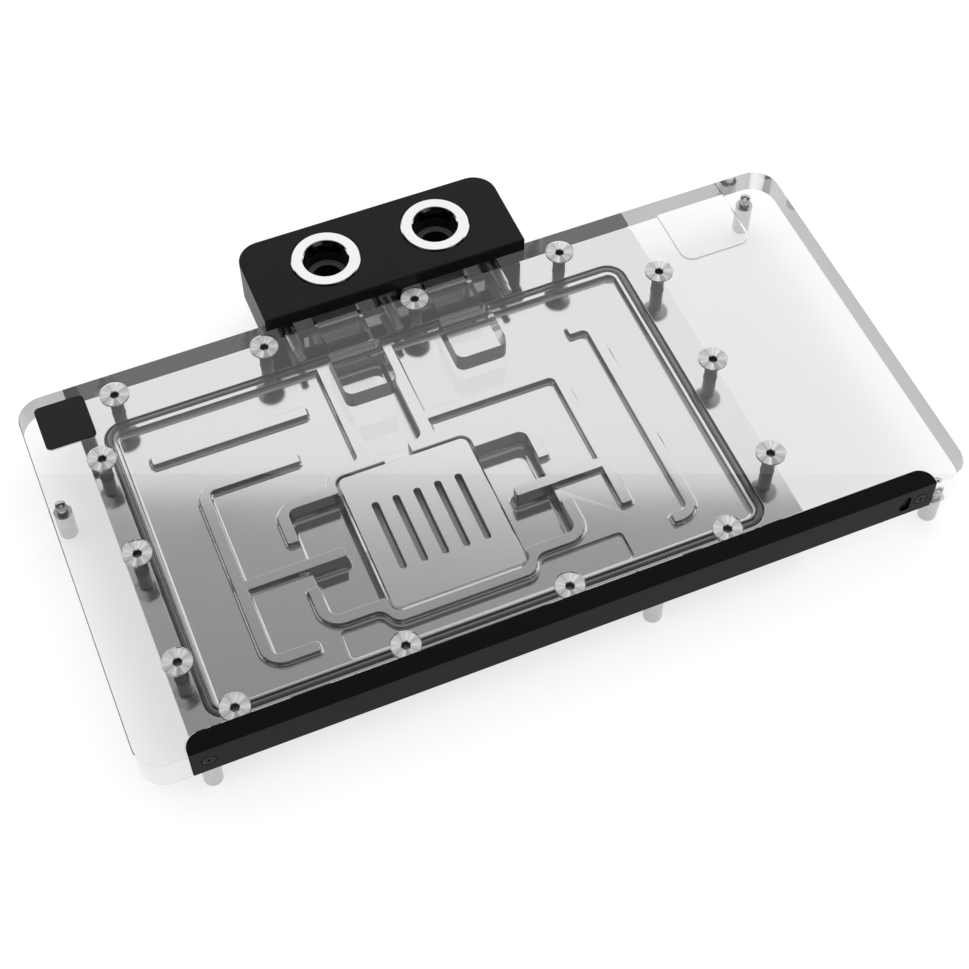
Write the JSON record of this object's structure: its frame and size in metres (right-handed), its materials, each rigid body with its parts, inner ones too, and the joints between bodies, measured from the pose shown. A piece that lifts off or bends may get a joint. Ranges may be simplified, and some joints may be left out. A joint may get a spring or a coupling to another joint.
{
  "type": "gpu water block",
  "caption": "Full cover water block for a graphics card: nickel cold plate with milled channels under a clear cover, black two port terminal and trim strip.",
  "frame": {"origin": "centre of the face that meets the graphics chip", "axes": "+X along the card, +Y from the trim strip to the ports, +Z away from the card through the clear cover"},
  "size_m": [0.246, 0.1554, 0.028],
  "materials": {
    "nickel": "nickel plating on milled copper, satin floor and bright edges",
    "nickel_brushed": "nickel plated, fine satin face",
    "seal_rubber": "matte black",
    "clear_acrylic": "clear acrylic, polished faces and edges",
    "turned_steel": "turned, with circular tool marks",
    "standoff_metal": "nickel plated brass, satin",
    "black_acetal": "smooth satin black",
    "collar_chrome": "polished",
    "black_coated_metal": "matte black powder coat",
    "black_steel": "black oxide",
    "light_board": "matte black board",
    "badge_black": "matte black"
  },
  "bodies": {
    "root": {"cold_plate": "nickel", "jet_plate": "nickel_brushed", "chamber_seal": "seal_rubber", "clear_cover": "clear_acrylic", "cover_screw_01": "turned_steel", "cover_screw_02": "turned_steel", "cover_screw_03": "turned_steel", "cover_screw_04": "turned_steel", "cover_screw_05": "turned_steel", "cover_screw_06": "turned_steel", "cover_screw_07": "turned_steel", "cover_screw_08": "turned_steel", "cover_screw_09": "turned_steel", "cover_screw_10": "turned_steel", "cover_screw_11": "turned_steel", "cover_screw_12": "turned_steel", "cover_screw_13": "turned_steel", "cover_screw_14": "turned_steel", "standoff_1": "standoff_metal", "threaded_insert_1": "standoff_metal", "standoff_2": "standoff_metal", "threaded_insert_2": "standoff_metal", "standoff_3": "standoff_metal", "threaded_insert_3": "standoff_metal", "standoff_4": "standoff_metal", "threaded_insert_4": "standoff_metal", "standoff_5": "standoff_metal", "threaded_insert_5": "standoff_metal", "terminal_block": "black_acetal", "port_seal_1": "seal_rubber", "port_collar_1": "collar_chrome", "port_seal_2": "seal_rubber", "port_collar_2": "collar_chrome", "terminal_screw_1": "turned_steel", "terminal_screw_2": "turned_steel", "terminal_screw_3": "turned_steel", "trim_strip": "black_coated_metal", "trim_screw_1": "black_steel", "trim_screw_2": "black_steel", "light_strip": "light_board", "badge_plate": "badge_black"}
  },
  "joints": []
}
